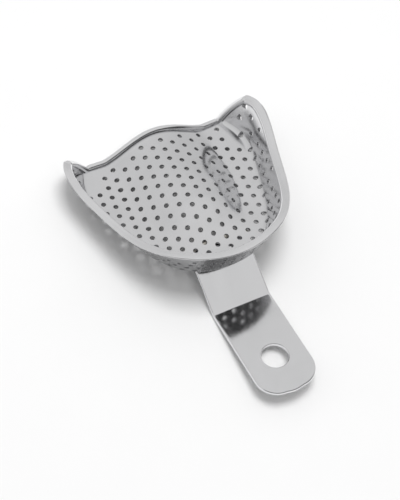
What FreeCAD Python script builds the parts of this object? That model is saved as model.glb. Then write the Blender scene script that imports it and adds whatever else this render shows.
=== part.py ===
import FreeCAD, Part
import math
import os
import Sketcher
from FreeCAD import Vector, Placement, Rotation

# Perforated metal impression tray for the upper arch, in millimetres.
# It is designed in the tray's own pressing frame: X across the arch, +Y to the
# back of the mouth with y = 0 at the tips of the flanges, Z up from the
# underside of the trough floor.  At the end every piece gets one placement,
# which leans the tray back until it stands as it does on a bench: on the bend
# of its handle and on the rear of its trough floor, with z = 0 at the bench.

doc = FreeCAD.newDocument("impression_tray")

# ---------------------------------------------------------------- dimensions
sheet = doc.addObject("Spreadsheet::Sheet", "Dimensions")
DIMS = [
    # upper edge of the flange, from the midline round to the right-hand tip
    ("rim_xa", 0.0), ("rim_ya", -65.08), ("rim_za", 15.53),
    ("rim_xb", 19.09), ("rim_yb", -59.61), ("rim_zb", 15.90),
    ("rim_xc", 30.83), ("rim_yc", -44.31), ("rim_zc", 12.20),
    ("rim_xd", 37.42), ("rim_yd", -24.03), ("rim_zd", 11.70),
    ("rim_xe", 40.65), ("rim_ye", -11.20), ("rim_ze", 13.90),
    ("rim_xf", 40.55), ("rim_yf", -4.70), ("rim_zf", 14.90),
    ("rim_xg", 38.30), ("rim_yg", 0.0), ("rim_zg", 13.90),
    # rear edge of the shell: distance behind the tips at chosen half-widths
    ("rear_x1", 36.6), ("rear_y1", 1.7), ("rear_x2", 34.0), ("rear_y2", 3.5),
    ("rear_x3", 30.0), ("rear_y3", 4.9), ("rear_x4", 25.0), ("rear_y4", 5.0),
    ("rear_x5", 19.0), ("rear_y5", 4.8), ("rear_x6", 13.0), ("rear_y6", 5.0),
    ("rear_x7", 7.0), ("rear_y7", 5.6), ("rear_x8", 0.0), ("rear_y8", 6.1),
    # pressed sheet
    ("sheet_gauge", 1.0),          # thickness
    ("floor_front", 0.3),          # height of the trough floor's upper face
    ("floor_rise", 1.5),           # how far that floor rises to the rear edge
    ("floor_flat_y", -50.0), ("floor_span", 54.0),
    ("wall_run", 6.2),             # plan width of the flange at half-height datum
    ("wall_run_tip", 9.8),         # the same at the flared tips
    ("wall_datum", 0.83),
    ("foot_radius", 2.3),          # inside radius between flange and floor
    ("palate_rise", 8.0), ("palate_front", -49.5), ("palate_run", 19.0),
    ("palate_half", 21.0), ("palate_half_front", 15.5), ("palate_crest", 2.1), ("palate_ease", 0.2),
    ("medial_front", -41.0),
    # retention beads
    ("bead_width", 2.7), ("bead_height", 1.75),
    ("rear_bead_width", 2.6), ("rear_bead_height", 1.8), ("rear_bead_end", 35.4),
    # perforation
    ("hole_diameter", 1.7),
    ("lattice_ox", -6.177), ("lattice_oy", -25.580),
    ("lattice_ax", 3.8893), ("lattice_ay", -2.6121),
    ("lattice_bx", -0.5497), ("lattice_by", -4.4947),
    # how pressing draws the lattice out
    ("stretch_iix", 0.0251), ("stretch_ijx", 0.0330), ("stretch_jjx", 0.0079),
    ("stretch_iiy", 0.0212), ("stretch_ijy", 0.0006), ("stretch_jjy", 0.0351),
    # handle
    ("strip_width", 23.6), ("strip_gauge", 1.8), ("lap_rear_y", -45.8),
    ("braze_gap", 0.12), ("first_bend_y", -50.1),
    ("second_bend_y", -67.74), ("second_bend_z", -12.3),
    ("grip_end_y", -108.1), ("grip_end_z", -13.57),
    ("bend_radius", 1.6), ("end_corner_radius", 8.5), ("strip_edge_radius", 0.55),
    ("eye_diameter", 10.0), ("eye_from_end", 15.9),
    ("braze_reach", 1.3), ("braze_depth", 1.2),
]
for i, (name, value) in enumerate(DIMS, start=1):
    sheet.set("A%d" % i, name)
    sheet.set("B%d" % i, repr(float(value)))
    sheet.setAlias("B%d" % i, name)
# worked-out sizes of the handle
row = len(DIMS) + 1
FORMULAS = [
    ("floor_under", "floor_front - sheet_gauge"),
    ("lap_top", "floor_front - sheet_gauge - braze_gap"),
    ("grip_slope", "atan((second_bend_z - grip_end_z) / (second_bend_y - grip_end_y))"),
    ("strip_half", "strip_width / 2"),
]
for name, formula in FORMULAS:
    sheet.set("A%d" % row, name)
    sheet.set("B%d" % row, "=" + formula)
    sheet.setAlias("B%d" % row, name)
    row += 1
doc.recompute()


def dim(name):
    value = getattr(sheet, name)
    return float(value.Value) if hasattr(value, "Value") else float(value)


T = dim("sheet_gauge")


# ------------------------------------------------------------ small helpers
def natural_spline(ts, vs):
    """Natural cubic spline through (ts, vs); returns a function."""
    n = len(ts)
    hh = [ts[i + 1] - ts[i] for i in range(n - 1)]
    a = [0.0] * n
    b = [1.0] * n
    c = [0.0] * n
    d = [0.0] * n
    for i in range(1, n - 1):
        a[i] = hh[i - 1]
        b[i] = 2 * (hh[i - 1] + hh[i])
        c[i] = hh[i]
        d[i] = 6 * ((vs[i + 1] - vs[i]) / hh[i] - (vs[i] - vs[i - 1]) / hh[i - 1])
    for i in range(1, n):
        w = a[i] / b[i - 1]
        b[i] -= w * c[i - 1]
        d[i] -= w * d[i - 1]
    m = [0.0] * n
    m[-1] = d[-1] / b[-1]
    for i in range(n - 2, -1, -1):
        m[i] = (d[i] - c[i] * m[i + 1]) / b[i]

    def f(t):
        k = 0
        while k < n - 2 and t > ts[k + 1]:
            k += 1
        h0 = hh[k]
        p = (ts[k + 1] - t) / h0
        q = (t - ts[k]) / h0
        return (p * vs[k] + q * vs[k + 1]
                + ((p ** 3 - p) * m[k] + (q ** 3 - q) * m[k + 1]) * h0 * h0 / 6.0)
    return f


def smooth(x):
    x = min(1.0, max(0.0, x))
    return x * x * (3 - 2 * x)


# --------------------------------------------------- the rim and the surface
half = [(dim("rim_x" + k), dim("rim_y" + k), dim("rim_z" + k)) for k in "abcdefg"]
full = [(-x, y, z) for x, y, z in half[:0:-1]] + half
chord = [0.0]
for p, q in zip(full[:-1], full[1:]):
    chord.append(chord[-1] + math.dist(p, q))
mid = chord[len(half) - 1]
chord = [c - mid for c in chord]
S_END = chord[-1]
rim_x = natural_spline(chord, [p[0] for p in full])
rim_y = natural_spline(chord, [p[1] for p in full])
rim_z = natural_spline(chord, [p[2] for p in full])


def rim(s):
    """Point on the flange's outer upper edge; s runs -1 (left tip) to 1."""
    c = s * S_END
    return rim_x(c), rim_y(c), rim_z(c)


def inward(s):
    """Unit vector in plan, pointing into the tray."""
    e = 1e-3
    a = rim(max(-1.0, s - e))
    b = rim(min(1.0, s + e))
    tx, ty = b[0] - a[0], b[1] - a[1]
    m = math.hypot(tx, ty)
    return -ty / m, tx / m


rear_pts = [(dim("rear_x%d" % k), dim("rear_y%d" % k)) for k in range(8, 0, -1)]
rear_pts.append((half[-1][0], half[-1][1]))
rear_full = [(-x, y) for x, y in rear_pts[:0:-1]] + rear_pts
rear_y = natural_spline([p[0] for p in rear_full], [p[1] for p in rear_full])


def base_height(x, y):
    """Upper face of the pressed sheet away from the flanges: floor and palate."""
    r = max(0.0, (y - dim("floor_flat_y")) / dim("floor_span"))
    z = dim("floor_front") + dim("floor_rise") * r * r
    rise = dim("palate_rise") * smooth((y - dim("palate_front")) / dim("palate_run"))
    rise *= 1 - dim("palate_ease") * smooth((y + 25.0) / 30.0)
    u = smooth((y + 47.0) / 27.0)
    a = dim("palate_half_front") + (dim("palate_half") - dim("palate_half_front")) * u
    k = min(1.0, abs(x) / a)
    return z + rise * (1 - k ** dim("palate_crest")) ** 1.5


def base_normal(x, y):
    e = 0.02
    zx = (base_height(x + e, y) - base_height(x - e, y)) / (2 * e)
    zy = (base_height(x, y + e) - base_height(x, y - e)) / (2 * e)
    m = math.sqrt(1 + zx * zx + zy * zy)
    return -zx / m, -zy / m, 1 / m


def lean_to_rear(s):
    return smooth((abs(s) - 0.80) / 0.20)


def plan(s, q):
    """Plan point at distance q inside the rim, on station s (s >= 0)."""
    x, y, _ = rim(s)
    nx, ny = inward(s)
    px, py = x + nx * q, y + ny * q
    b = lean_to_rear(s)
    if b > 0.0:
        x1, y1, _ = rim(1.0)
        ex = x1 - q * 0.985
        ey = rear_y(ex)
        n1x, n1y = inward(1.0)
        px += b * (ex - (x1 + n1x * q))
        py += b * (ey - (y1 + n1y * q))
    return px, py


def wall_run(s):
    return dim("wall_run") + (dim("wall_run_tip") - dim("wall_run")) * smooth((abs(s) - 0.84) / 0.16)


def section(s):
    """Flange section at station s: slope and where its foot meets the floor."""
    zr = rim(s)[2]
    m = (zr - dim("wall_datum")) / wall_run(s)
    th = math.atan(m)
    r = dim("foot_radius")
    shift = T / math.sin(th)
    q_foot = 9.0
    for _ in range(4):
        fx, fy = plan(s, q_foot)
        floor = base_height(fx, fy)
        q_int = shift + (zr - floor) / m
        q_foot = q_int + r * math.tan(th / 2)
    return {"zr": zr, "m": m, "th": th, "shift": shift, "floor": floor,
            "q_int": q_int, "q_foot": q_foot, "r": r}


N_WALL, N_ARC, N_IN = 5, 5, 15


def at(s, q, z):
    """Point of station |s| at inset q and height z, mirrored for s < 0."""
    x, y = plan(abs(s), q)
    return (-x if s < 0 else x, y, z)


def station(s):
    """Matching rows of points on the upper and the lower face at station s."""
    a = abs(s)
    sec = section(a)
    th, r, F = sec["th"], sec["r"], sec["floor"]
    top, low = [], []
    tang = r * math.tan(th / 2)
    q_w = sec["q_int"] - tang * math.cos(th)
    z_w = F + tang * math.sin(th)
    cq, cz = sec["q_foot"], F + r
    ro = r + T
    q_wo, z_wo = cq - ro * math.sin(th), cz - ro * math.cos(th)
    for i in range(N_WALL):
        k = i / N_WALL
        top.append((sec["shift"] + (q_w - sec["shift"]) * k, sec["zr"] + (z_w - sec["zr"]) * k))
        low.append((q_wo * k, sec["zr"] + (z_wo - sec["zr"]) * k))
    for i in range(N_ARC + 1):
        b = th * (1 - i / N_ARC)
        top.append((cq - r * math.sin(b), cz - r * math.cos(b)))
        low.append((cq - ro * math.sin(b), cz - ro * math.cos(b)))
    P = [at(s, q, z) for q, z in top]
    Q = [at(s, q, z) for q, z in low]
    # from the foot of the flange across floor and palate to the midline
    ax, ay = plan(a, sec["q_foot"])
    bx, by = plan(a, sec["q_foot"] + 0.5)
    m = math.hypot(bx - ax, by - ay)
    dx, dy = (bx - ax) / m, (by - ay) / m
    my = dim("medial_front") + (rear_y(0.0) - dim("medial_front")) * a * a
    span = math.hypot(ax, my - ay)
    kx, ky = ax + dx * span * 0.45, ay + dy * span * 0.45
    if a > 0.999:
        pts = []
        for i in range(1, N_IN + 1):
            k = i / N_IN
            x = ax * (1 - k)
            pts.append((x, rear_y(x)))
    else:
        lean = lean_to_rear(a)
        pts = []
        for i in range(1, N_IN + 1):
            k = i / N_IN
            x = (1 - k) ** 2 * ax + 2 * k * (1 - k) * kx
            y = (1 - k) ** 2 * ay + 2 * k * (1 - k) * ky + k * k * my
            if lean > 0:
                xr = ax * (1 - k)
                yr = rear_y(xr) + (ay - rear_y(ax)) * (1 - k) + (my - rear_y(0.0)) * k
                w = lean * lean
                x = x * (1 - w) + xr * w
                y = y * (1 - w) + yr * w
            pts.append((x, y))
    for x, y in pts:
        if a == 0.0:
            x = 0.0
        z = base_height(x, y)
        nx, ny, nz = base_normal(x, y)
        if x == 0.0:
            nx = 0.0
        sx = -1.0 if s < 0 else 1.0
        P.append((sx * x, y, z))
        Q.append((sx * (x - nx * T), y - ny * T, z - nz * T))
    return P, Q


# stations, closer together round the front corners and at the tips
NS = 26
stations = [math.sin(math.pi / 2 * (i / NS)) * 0.35 + 0.65 * (i / NS) for i in range(NS + 1)]
stations = [-s for s in stations[:0:-1]] + stations


def surface(rows):
    g = [[Vector(*p) for p in r] for r in rows]
    surf = Part.BSplineSurface()
    surf.interpolate(g)
    return surf


def halves(surf):
    u0, u1, v0, v1 = surf.bounds()
    um = 0.5 * (u0 + u1)
    out = []
    for lo, hi in ((u0, um), (um, u1)):
        c = surf.copy()
        c.segment(lo, hi, v0, v1)
        out.append(c)
    return out


ROWS = [station(s) for s in stations]
UPPER = surface([r[0] for r in ROWS])
LOWER = surface([r[1] for r in ROWS])


def make_shell():
    upper, lower = UPPER, LOWER
    faces = []
    pairs = list(zip(halves(upper), halves(lower)))
    for up, lo in pairs:
        faces += [up.toShape(), lo.toShape()]
        u0, u1, v0, v1 = up.bounds()
        w0, w1, x0, x1 = lo.bounds()
        faces.append(Part.makeRuledSurface(up.vIso(v0).toShape(), lo.vIso(x0).toShape()))
    (ul, ll), (ur, lr) = pairs
    for up, lo, end in ((ul, ll, 0), (ur, lr, 1)):
        faces.append(Part.makeRuledSurface(up.uIso(up.bounds()[end]).toShape(),
                                           lo.uIso(lo.bounds()[end]).toShape()))
    return sew(faces)


def sew(faces):
    sh = Part.makeShell(faces)
    sh.sewShape()
    solid = Part.makeSolid(sh if sh.ShapeType == "Shell" else sh.Shells[0])
    if solid.Volume < 0:
        solid.reverse()
    return solid


def seat_surface(back, rows):
    """Ruled seat between the two long edges of a bead's curved back."""
    u0, u1, v0, v1 = back.bounds()
    return Part.makeRuledSurface(back.vIso(v0).toShape(), back.vIso(v1).toShape())


def bead_solid(sections):
    """Solid along D-shaped sections: a curved back and a flat seat."""
    back = surface([c for _, c in sections])
    seat_rows = []
    for (p, q), c in sections:
        a, b = c[0], c[-1]
        seat_rows.append((a, b))
    seat = seat_surface(back, seat_rows)
    faces = [back.toShape(), seat]
    for end in (0, 1):
        e1 = back.uIso(back.bounds()[end]).toShape()
        a, b = e1.Vertexes[0].Point, e1.Vertexes[-1].Point
        faces.append(Part.Face(Part.Wire([e1, Part.makeLine(b, a)])))
    return sew(faces)


SINK = 0.25     # the bead blanks start this far inside the sheet and are then cut to it


def rim_point(s):
    """Point of the flange's rim, on the sheet's upper face."""
    sec = section(abs(s))
    x, y, _ = at(s, sec["shift"], 0.0)
    return Vector(x, y, sec["zr"])


def flange_bead_sections():
    """Sections square to the flange's rim, from one tip to the other."""
    w, hgt = dim("bead_width"), dim("bead_height")
    first, last = stations[0], stations[-1]
    out = []
    for s in stations:
        sec = section(abs(s))
        c, sn = math.cos(sec["th"]), math.sin(sec["th"])
        q0 = sec["shift"]
        o = rim_point(s)
        px, py, _ = at(s, q0 + 1.5, 0.0)
        down = Vector(px - o.x, py - o.y, 0)
        down.normalize()
        down = Vector(down.x * c, down.y * c, -sn)
        tv = rim_point(min(last, s + 0.004)).sub(rim_point(max(first, s - 0.004)))
        tv.normalize()
        inn = down.sub(tv * down.dot(tv))
        inn.normalize()
        nrm = tv.cross(inn)
        nrm.normalize()
        if nrm.z < 0:
            nrm = nrm.negative()

        def pt(along, off):
            p = o.add(inn * along).add(nrm * off)
            return p.x, p.y, p.z
        curved = []
        for i in range(9):
            f = math.pi * i / 8
            curved.append(pt(w / 2 - w / 2 * math.cos(f), -SINK + (hgt + SINK) * (math.sin(f) ** 0.8 if 0 < i < 8 else 0.0)))
        out.append(((curved[0], curved[-1]), curved))
    return out


def rear_bead_sections():
    """Sections square to the shell's rear edge, from the left end to the right."""
    w, hgt = dim("rear_bead_width"), dim("rear_bead_height")
    x_end = dim("rear_bead_end")
    u1 = UPPER.bounds()[1]
    v0, v1 = UPPER.bounds()[2:]
    # parameter along the rear edge at which |x| falls to the bead's end
    lo, hi = v0, v1
    for _ in range(40):
        m = 0.5 * (lo + hi)
        if UPPER.value(u1, m).x > x_end:
            lo = m
        else:
            hi = m
    right = []
    n = 26
    for i in range(n + 1):
        v = lo + (v1 - lo) * i / n
        A = UPPER.value(u1, v)
        e = 1e-3 * (v1 - v0)
        tv = UPPER.value(u1, min(v1, v + e)).sub(UPPER.value(u1, max(v0, v - e)))
        if i == n:
            A.x = 0.0
            tv = Vector(-1, 0, 0)
        f = 1e-3 * (u1 - UPPER.bounds()[0])
        tu = UPPER.value(u1 - f, v).sub(UPPER.value(u1, v))
        if i == n:
            tu.x = 0.0
        nrm = tv.cross(tu)
        nrm.normalize()
        if nrm.z < 0:
            nrm = nrm.negative()
        inn = nrm.cross(tv)
        inn.normalize()
        if inn.y > 0:
            inn = inn.negative()
        pts = []
        for j in range(9):
            g = math.pi * j / 8
            along = w * (0.5 - 0.5 * math.cos(g))
            off = -SINK + (hgt + SINK) * (math.sin(g) ** 0.8 if 0 < j < 8 else 0.0)
            pts.append((A.x + inn.x * along + nrm.x * off, A.y + inn.y * along + nrm.y * off,
                        A.z + inn.z * along + nrm.z * off))
        right.append(pts)
    left = [[(-x, y, z) for x, y, z in pts] for pts in right]
    rows = left + right[-2::-1]
    return [((pts[0], pts[-1]), pts) for pts in rows]


def blank_point(px, py):
    """A point of the flat punched blank, carried into the pressed tray.

    Inside the foot of the flange the blank keeps its plan position; outside it,
    the distance past the foot is measured up the flange.  Returns the point on
    the upper face and the face's normal, or None off the perforated field.
    """
    ax = abs(px)
    # nearest station by plan distance
    best = None
    for k in range(0, 101):
        s = k / 100.0
        x, y, _ = rim(s)
        d = (x - ax) ** 2 + (y - py) ** 2
        if best is None or d < best[0]:
            best = (d, s)
    s = best[1]
    step = 0.01
    for _ in range(12):
        for c in (s - step, s + step):
            if 0.0 <= c <= 1.0:
                x, y, _z = rim(c)
                d = (x - ax) ** 2 + (y - py) ** 2
                if d < best[0]:
                    best = (d, c)
        s = best[1]
        step *= 0.6
    x, y, _ = rim(s)
    nx, ny = inward(s)
    q = (ax - x) * nx + (py - y) * ny
    off_line = abs(-(ax - x) * ny + (py - y) * nx)
    sec = section(s)
    q_foot = sec["q_foot"]
    sg = -1.0 if px < 0 else 1.0
    if q > 0 and math.hypot(ax - x, py - y) >= q_foot:
        if py > rear_y(ax) - dim("rear_bead_width") - dim("hole_diameter") * 0.5 - 0.7:
            return None
        n = base_normal(ax, py)
        return (px, py, base_height(ax, py)), (sg * n[0], n[1], n[2])
    if off_line > 0.5:
        return None
    # up the foot's arc and then the flange
    run = q_foot - q
    th, r, F = sec["th"], sec["r"], sec["floor"]
    mean = r + 0.5 * T
    arc = mean * th
    if run <= arc:
        b = run / mean
        qq, zz = q_foot - r * math.sin(b), F + r - r * math.cos(b)
    else:
        b = th
        up = run - arc
        qq = q_foot - r * math.sin(th) - up * math.cos(th)
        zz = F + r - r * math.cos(th) + up * math.sin(th)
    free = (sec["zr"] - zz) / math.sin(th)
    if free < dim("bead_width") + dim("hole_diameter") * 0.5 + 0.7:
        return None
    if s > 0.955 and run > arc * 0.4:
        return None
    wx, wy = plan(s, qq)
    vx, vy = plan(s, qq + 0.2)
    m = math.hypot(vx - wx, vy - wy)
    ix, iy = (vx - wx) / m, (vy - wy) / m
    return (sg * wx, wy, zz), (sg * ix * math.sin(b), iy * math.sin(b), math.cos(b))


def perforation():
    """Every hole of the lattice as (point on the upper face, normal)."""
    out = []
    for i in range(-16, 17):
        for j in range(-12, 13):
            px = (dim("lattice_ox") + i * dim("lattice_ax") + j * dim("lattice_bx")
                  + i * i * dim("stretch_iix") + i * j * dim("stretch_ijx") + j * j * dim("stretch_jjx"))
            py = (dim("lattice_oy") + i * dim("lattice_ay") + j * dim("lattice_by")
                  + i * i * dim("stretch_iiy") + i * j * dim("stretch_ijy") + j * j * dim("stretch_jjy"))
            if abs(px) > 52 or py > 12 or py < -80:
                continue
            hit = blank_point(px, py)
            if hit:
                out.append(hit)
    # drop any that pressing would bring too close together
    keep = []
    for p, n in out:
        if all(math.dist(p, q) > dim("hole_diameter") + 0.9 for q, _ in keep):
            keep.append((p, n))
    return keep


def punch(solid):
    tools = []
    r = dim("hole_diameter") / 2
    for p, n in perforation():
        P0 = Vector(*p).add(Vector(*n).multiply(1.6))
        tools.append(Part.makeCylinder(r, 4.4, P0, Vector(*n).negative()))
    return solid.cut(Part.makeCompound(tools)), len(tools)


# ------------------------------------------------------------------ pieces
shell = doc.addObject("Part::Feature", "TrayShell")
shell.Label = "tray_shell"
plain = make_shell()
shell.Shape, hole_count = punch(plain)
if shell.Shape.ShapeType == "Compound":
    shell.Shape = shell.Shape.Solids[0]
print("punched", hole_count, "holes,", len(shell.Shape.Solids), len(shell.Shape.Faces), plain.Volume - shell.Shape.Volume, "mm3 out, expected about", hole_count * math.pi * (dim("hole_diameter") / 2) ** 2 * T)
print("shell", shell.Shape.ShapeType, shell.Shape.isValid(), shell.Shape.Volume, shell.Shape.BoundBox)

flange_bead = doc.addObject("Part::Feature", "FlangeBead")
flange_bead.Label = "flange_bead"
blank = bead_solid(flange_bead_sections())
flange_bead.Shape = blank.cut(plain)
print("flange bead", flange_bead.Shape.isValid(), flange_bead.Shape.Volume)

palatal_bead = doc.addObject("Part::Feature", "PalatalBead")
palatal_bead.Label = "palatal_bead"
blank = bead_solid(rear_bead_sections())
joined = blank.cut(plain).cut(flange_bead.Shape)
palatal_bead.Shape = max(joined.Solids, key=lambda q: q.Volume)
print("palatal bead", palatal_bead.Shape.isValid(), palatal_bead.Shape.Volume)

# ------------------------------------------------------------------ handle
def plane_of(body, role):
    return [f for f in body.Origin.OriginFeatures if f.Role == role][0]


handle = doc.addObject("PartDesign::Body", "Handle")
handle.Label = "handle"
sk = handle.newObject("Sketcher::SketchObject", "StripProfile")
sk.AttachmentSupport = [(plane_of(handle, "YZ_Plane"), "")]
sk.MapMode = "FlatFace"
doc.recompute()
g = dim("strip_gauge")
P = [(dim("lap_rear_y"), dim("lap_top")), (dim("first_bend_y"), dim("lap_top")),
     (dim("second_bend_y"), dim("second_bend_z")), (dim("grip_end_y"), dim("grip_end_z"))]


def below(i):
    """Point on the strip's underside opposite corner i of its upper face."""
    def nrm(a, b):
        dx, dy = b[0] - a[0], b[1] - a[1]
        m = math.hypot(dx, dy)
        n = (dy / m, -dx / m)
        return n if n[1] < 0 else (-n[0], -n[1])
    if i == 0:
        n = nrm(P[0], P[1])
        return P[0][0], P[0][1] + n[1] * g
    if i == 3:
        n = nrm(P[2], P[3])
        return P[3][0] + n[0] * g, P[3][1] + n[1] * g
    n1, n2 = nrm(P[i - 1], P[i]), nrm(P[i], P[i + 1])
    k = g / (1 + n1[0] * n2[0] + n1[1] * n2[1])
    return P[i][0] + (n1[0] + n2[0]) * k, P[i][1] + (n1[1] + n2[1]) * k


B = [below(i) for i in range(4)]
loop = P + B[::-1]
V3 = [Vector(a, b, 0) for a, b in loop]
for i in range(8):
    sk.addGeometry(Part.LineSegment(V3[i], V3[(i + 1) % 8]), False)
C = Sketcher.Constraint
for i in range(8):
    sk.addConstraint(C("Coincident", i, 2, (i + 1) % 8, 1))


def bind(constraint, name, expr):
    k = sk.addConstraint(constraint)
    sk.renameConstraint(k, name)
    sk.setExpression("Constraints." + name, expr)


names = [("lap_rear_y", "lap_top"), ("first_bend_y", "lap_top"),
         ("second_bend_y", "second_bend_z"), ("grip_end_y", "grip_end_z")]
for i, (ey, ez) in enumerate(names):
    bind(C("DistanceX", -1, 1, i, 1, P[i][0]), "cy%d" % i, "Dimensions." + ey)
    bind(C("DistanceY", -1, 1, i, 1, P[i][1]), "cz%d" % i, "Dimensions." + ez)
# edges: 0..2 upper face, 3 outer end, 4..6 underside (outer to inner), 7 inner end
for up, lo in ((0, 6), (1, 5), (2, 4)):
    sk.addConstraint(C("Parallel", up, lo))
for k, (vertex_edge, line) in enumerate(((7, 0), (6, 1), (4, 2))):
    bind(C("Distance", vertex_edge, 1, line, g), "gauge%d" % k, "Dimensions.strip_gauge")
sk.addConstraint(C("Perpendicular", 3, 2))
sk.addConstraint(C("Vertical", 7))
doc.recompute()
print("sketch", sk.State, sk.solve(), [tuple(round(c, 2) for c in (gg.StartPoint.x, gg.StartPoint.y)) for gg in sk.Geometry])

pad = handle.newObject("PartDesign::Pad", "Strip")
pad.Profile = sk
if hasattr(pad, "SideType"):
    pad.SideType = "Symmetric"
else:
    pad.Midplane = True
pad.setExpression("Length", "Dimensions.strip_width")
doc.recompute()
print("pad", pad.State, pad.Shape.BoundBox)


def edges_near(shape, points, tol=0.2):
    """Names of the edges that run along X through the given (y, z) points."""
    out = []
    for i, e in enumerate(shape.Edges, 1):
        a, b = e.Vertexes[0].Point, e.Vertexes[-1].Point
        if abs(abs(a.x - b.x) - dim("strip_width")) < 1e-3:
            for y, z in points:
                if math.hypot(a.y - y, a.z - z) < tol:
                    out.append("Edge%d" % i)
    return out


# inside and outside of each bend are concentric
inner = edges_near(pad.Shape, [B[1], P[2]])
outer = edges_near(pad.Shape, [P[1], B[2]])
f1 = handle.newObject("PartDesign::Fillet", "BendsInside")
f1.Base = (pad, inner)
f1.setExpression("Radius", "Dimensions.bend_radius")
doc.recompute()
outer = edges_near(f1.Shape, [P[1], B[2]])
f2 = handle.newObject("PartDesign::Fillet", "BendsOutside")
f2.Base = (f1, outer)
f2.setExpression("Radius", "Dimensions.bend_radius + Dimensions.strip_gauge")
doc.recompute()
ends = []
for i, e in enumerate(f2.Shape.Edges, 1):
    a, b = e.Vertexes[0].Point, e.Vertexes[-1].Point
    if abs(a.x - b.x) < 1e-6 and abs(e.Length - g) < 1e-3 and a.y < dim("grip_end_y") + 3:
        ends.append("Edge%d" % i)
f3 = handle.newObject("PartDesign::Fillet", "EndCorners")
f3.Base = (f2, ends)
f3.setExpression("Radius", "Dimensions.end_corner_radius")
doc.recompute()
print("fillets", f1.State, f2.State, f3.State, len(ends), f3.Shape.Volume)

# the eye in the grip, square to the grip's own face
eye = handle.newObject("Sketcher::SketchObject", "EyeCircle")
eye.AttachmentSupport = [(plane_of(handle, "XY_Plane"), "")]
eye.MapMode = "FlatFace"
slope = dim("grip_slope")
dy, dz = P[2][0] - P[3][0], P[2][1] - P[3][1]
m = math.hypot(dy, dz)
dy, dz = dy / m, dz / m
reach = dim("eye_from_end")
centre = Vector(0, P[3][0] + dy * reach, P[3][1] + dz * reach)
eye.AttachmentOffset = Placement(centre, Rotation(Vector(1, 0, 0), math.degrees(math.atan2(dz, dy))))
eye.addGeometry(Part.Circle(Vector(0, 0, 0), Vector(0, 0, 1), dim("eye_diameter") / 2), False)
eye.addConstraint(C("Coincident", 0, 3, -1, 1))
k = eye.addConstraint(C("Diameter", 0, dim("eye_diameter")))
eye.renameConstraint(k, "eye_bore")
eye.setExpression("Constraints.eye_bore", "Dimensions.eye_diameter")
doc.recompute()
before = f3.Shape.Volume
pocket = handle.newObject("PartDesign::Pocket", "Eye")
pocket.Profile = eye
pocket.Type = "ThroughAll"
if hasattr(pocket, "SideType"):
    pocket.SideType = "Symmetric"
else:
    pocket.Midplane = True
doc.recompute()
cut = before - pocket.Shape.Volume
print("eye cut", cut, "expected", math.pi * (dim("eye_diameter") / 2) ** 2 * g)
assert abs(cut - math.pi * (dim("eye_diameter") / 2) ** 2 * g) < 2.0
handle.Tip = pocket
# softened long edges
soft = []
for i, e in enumerate(pocket.Shape.Edges, 1):
    a, b = e.Vertexes[0].Point, e.Vertexes[-1].Point
    if e.Curve.TypeId == "Part::GeomLine" and abs(a.x - b.x) < 1e-6 and abs(abs(a.x) - dim("strip_half")) < 1e-3 and e.Length > g + 1:
        soft.append("Edge%d" % i)
f4 = handle.newObject("PartDesign::Fillet", "SoftEdges")
f4.Base = (pocket, soft)
f4.setExpression("Radius", "Dimensions.strip_edge_radius")
doc.recompute()
print("soft edges", f4.State, len(soft), f4.Shape.isValid() if not f4.Shape.isNull() else None)
if "Invalid" in f4.State or "Error" in f4.State or f4.Shape.isNull() or not f4.Shape.isValid():
    handle.removeObject(f4)
    doc.removeObject(f4.Name)
    handle.Tip = pocket
    doc.recompute()
print("handle", handle.Shape.isValid(), handle.Shape.Volume, handle.Shape.BoundBox)

# ------------------------------------------------------- braze at the lap joint
blank = doc.addObject("Part::Wedge", "BrazeBlank")
blank.Ymin = 0
blank.setExpression("Ymax", "Dimensions.braze_depth + 0.8")
blank.setExpression("Xmin", "-Dimensions.strip_half - Dimensions.braze_reach")
blank.setExpression("Xmax", "Dimensions.strip_half + Dimensions.braze_reach")
blank.setExpression("X2min", "-Dimensions.strip_half - 0.1")
blank.setExpression("X2max", "Dimensions.strip_half + 0.1")
blank.setExpression("Zmin", "Dimensions.first_bend_y - 0.4")
blank.setExpression("Zmax", "Dimensions.lap_rear_y + Dimensions.braze_reach")
blank.setExpression("Z2min", "Dimensions.first_bend_y - 0.2")
blank.setExpression("Z2max", "Dimensions.lap_rear_y + 0.1")
blank.Placement = Placement(Vector(0, 0, dim("floor_under") + 0.8), Rotation(Vector(1, 0, 0), -90))
trim = doc.addObject("Part::Cut", "BrazeTrim")
trim.Base = blank
trim.Tool = handle
doc.recompute()
assert trim.Shape.isValid() and "Invalid" not in trim.State
braze = doc.addObject("Part::Feature", "HandleBraze")
braze.Label = "handle_braze"
braze_shape = trim.Shape.cut(plain)
braze.Shape = max(braze_shape.Solids, key=lambda q: q.Volume)
doc.recompute()
print("braze", braze.State, braze.Shape.isValid(), braze.Shape.Volume, len(braze.Shape.Solids), braze.Shape.BoundBox)
print("braze/shell", braze.Shape.common(shell.Shape).Volume, "handle/shell", handle.Shape.common(shell.Shape).Volume)

# ---------------------------------------------------- standing on the bench
pieces = [shell, flange_bead, palatal_bead, handle, braze]


def cloud(shape):
    return [(v.x, v.y, v.z) for v in shape.tessellate(0.02)[0]]


grip_cloud = cloud(handle.Shape)
bowl_cloud = [p for p in cloud(shell.Shape) if p[1] > -20]


def low(points, a):
    c, n = math.cos(a), math.sin(a)
    return min(-p[1] * n + p[2] * c for p in points)


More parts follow.
